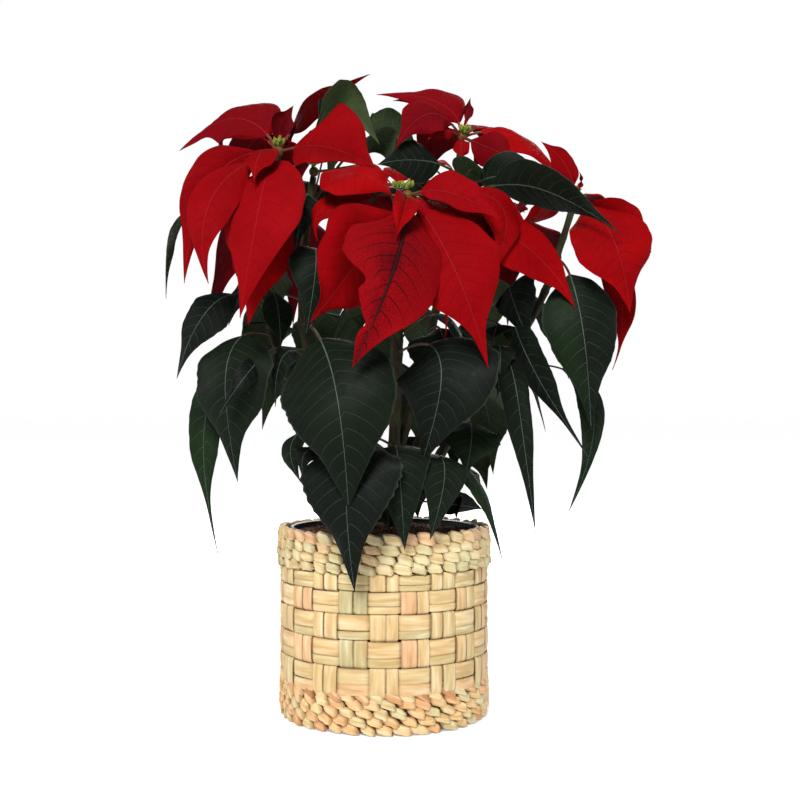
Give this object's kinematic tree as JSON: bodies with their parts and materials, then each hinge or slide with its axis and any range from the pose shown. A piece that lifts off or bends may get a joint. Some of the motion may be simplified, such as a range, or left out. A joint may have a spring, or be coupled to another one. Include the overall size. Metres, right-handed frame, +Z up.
{
  "type": "potted poinsettia",
  "caption": "Flowering poinsettia with red bracts over dark green leaves, in a plastic grow pot set in a round woven palm-leaf basket.",
  "frame": {"origin": "on the ground, at the centre of the basket's flat underside", "axes": "+Z up along the basket's axis, -Y towards the front, +X to the right seen from the front"},
  "size_m": [0.4656, 0.4215, 0.6214],
  "materials": {
    "basket_foot": "dry woven palm leaf, golden, twined",
    "basket_wall": "dry woven palm leaf, straw, flat straps",
    "basket_rim": "dry woven palm leaf, pale olive straw, twined",
    "grow_pot": "satin dark grey",
    "soil": "damp dark peat",
    "leaf": "soft satin leaf with pale veins",
    "bract": "velvety matt scarlet bract",
    "flower": "waxy yellow-green"
  },
  "bodies": {
    "root": {"basket_foot": "basket_foot", "basket_wall": "basket_wall", "basket_rim": "basket_rim", "grow_pot": "grow_pot", "soil": "soil", "leafy_stem_1": "leaf", "bloom_1": "bract", "flowers_1": "flower", "leafy_stem_2": "leaf", "bloom_2": "bract", "flowers_2": "flower", "leafy_stem_3": "leaf", "bloom_3": "bract", "flowers_3": "flower", "leafy_stem_4": "leaf", "bloom_4": "bract", "flowers_4": "flower", "leafy_stem_5": "leaf", "bloom_5": "bract", "flowers_5": "flower", "leafy_stem_6": "leaf", "bloom_6": "bract", "flowers_6": "flower", "leafy_stem_7": "leaf", "bloom_7": "bract", "flowers_7": "flower", "leafy_stem_8": "leaf", "bloom_8": "bract", "flowers_8": "flower"}
  },
  "joints": []
}
